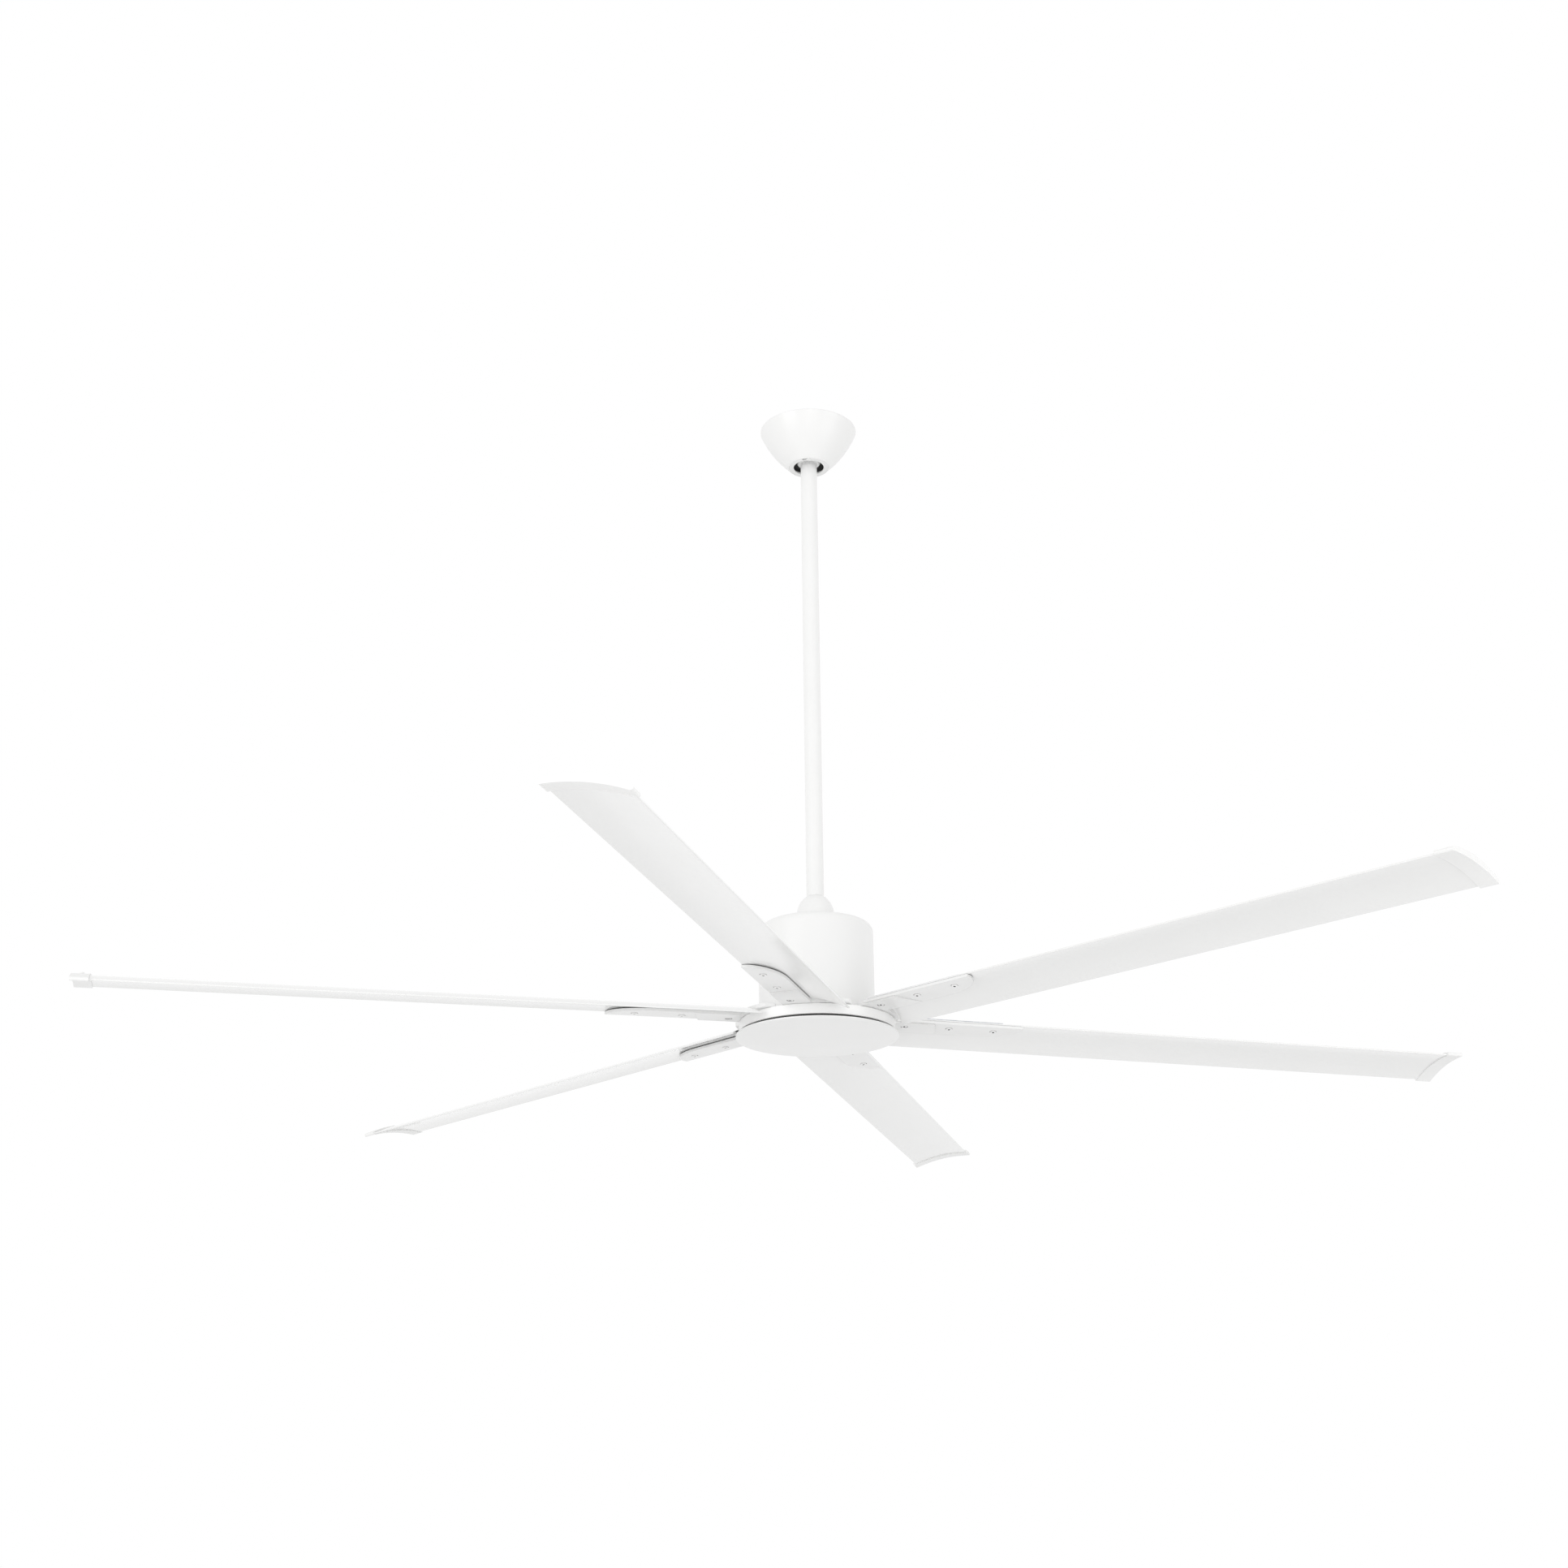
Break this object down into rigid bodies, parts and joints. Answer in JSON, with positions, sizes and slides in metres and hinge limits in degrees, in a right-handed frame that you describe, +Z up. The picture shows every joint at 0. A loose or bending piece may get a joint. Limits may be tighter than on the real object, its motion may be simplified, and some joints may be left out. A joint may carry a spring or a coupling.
{
  "type": "ceiling fan",
  "caption": "White ceiling fan on a long down rod with a half-bowl canopy, a drum motor housing and long narrow arched blades on screwed arms",
  "frame": {"origin": "centre of the bracket's face that lies on the ceiling", "axes": "+Z up through the ceiling, +X along the line of the two mounting slots; the camera of the picture stands on the -Y side"},
  "size_m": [2.0668, 2.1024, 1.0355],
  "materials": {
    "painted_steel": "semi-gloss white powder coat",
    "painted_aluminium": "semi-gloss white paint",
    "painted_blade": "semi-gloss white paint on a hollow extrusion",
    "white_plastic": "satin white",
    "zinc_steel": "zinc plated",
    "bright_steel": "ground steel",
    "black_steel": "black oxide",
    "rubber": "matt",
    "lead_jacket": "matt",
    "lamination": "stacked sheet steel",
    "magnet": "ferrite",
    "winding": "enamelled wire",
    "board": "solder mask",
    "component": "moulded",
    "cast_aluminium": "as cast"
  },
  "bodies": {
    "mounting": {"ceiling_bracket": "zinc_steel", "earth_screw": "zinc_steel", "receiver_case": "white_plastic", "terminal_block": "white_plastic", "canopy": "painted_steel", "canopy_screws": "painted_steel"},
    "seat_liner": {"seat_liner": "rubber"},
    "pendant": {"hanger_ball": "white_plastic", "ball_cross_pin": "bright_steel", "grub_screws": "black_steel", "down_rod": "painted_steel", "motor_lead": "lead_jacket", "lead_plug": "white_plastic", "coupling_yoke": "painted_aluminium", "flange_screws": "zinc_steel", "coupling_pin": "zinc_steel", "coupling_cotter": "bright_steel", "motor_housing": "painted_aluminium", "motor_shaft": "bright_steel", "shaft_flange": "bright_steel", "shaft_circlips": "black_steel", "upper_bearing_inner": "bright_steel", "lower_bearing_inner": "bright_steel", "stator_core": "lamination", "stator_windings": "winding", "driver_board": "board", "board_pillars": "zinc_steel", "board_parts": "component"},
    "coupling_cover": {"coupling_cover": "white_plastic"},
    "rotor": {"rotor_cup": "zinc_steel", "rotor_cap": "cast_aluminium", "rotor_magnets": "magnet", "rotor_screws": "zinc_steel", "upper_bearing_outer": "bright_steel", "lower_bearing_outer": "bright_steel", "rotor_hub": "painted_aluminium", "arm_screws": "zinc_steel", "bottom_cover": "white_plastic", "cover_clips": "bright_steel", "backing_plates": "painted_steel", "blade_screws": "painted_steel", "cap_screws": "painted_steel", "blade_arm_1": "painted_aluminium", "blade_1": "painted_blade", "tip_cap_1": "white_plastic", "blade_arm_2": "painted_aluminium", "blade_2": "painted_blade", "tip_cap_2": "white_plastic", "blade_arm_3": "painted_aluminium", "blade_3": "painted_blade", "tip_cap_3": "white_plastic", "blade_arm_4": "painted_aluminium", "blade_4": "painted_blade", "tip_cap_4": "white_plastic", "blade_arm_5": "painted_aluminium", "blade_5": "painted_blade", "tip_cap_5": "white_plastic", "blade_arm_6": "painted_aluminium", "blade_6": "painted_blade", "tip_cap_6": "white_plastic"}
  },
  "joints": [
    {"name": "ball_swing_x", "type": "hinge", "parent": "mounting", "child": "seat_liner", "pos_m": [0, 0, -0.044], "axis": [1, 0, 0], "range_deg": [-16, 16]},
    {"name": "ball_swing_y", "type": "hinge", "parent": "seat_liner", "child": "pendant", "pos_m": [0, 0, -0.044], "axis": [0, 1, 0], "range_deg": [-16, 16]},
    {"name": "cover_slide", "type": "slide", "parent": "pendant", "child": "coupling_cover", "axis": [0, 0, 1], "range_m": [0, 0.7]},
    {"name": "rotor_spin", "type": "hinge", "parent": "pendant", "child": "rotor", "pos_m": [0, 0, -1.0075], "axis": [0, 0, 1], "continuous": true}
  ]
}
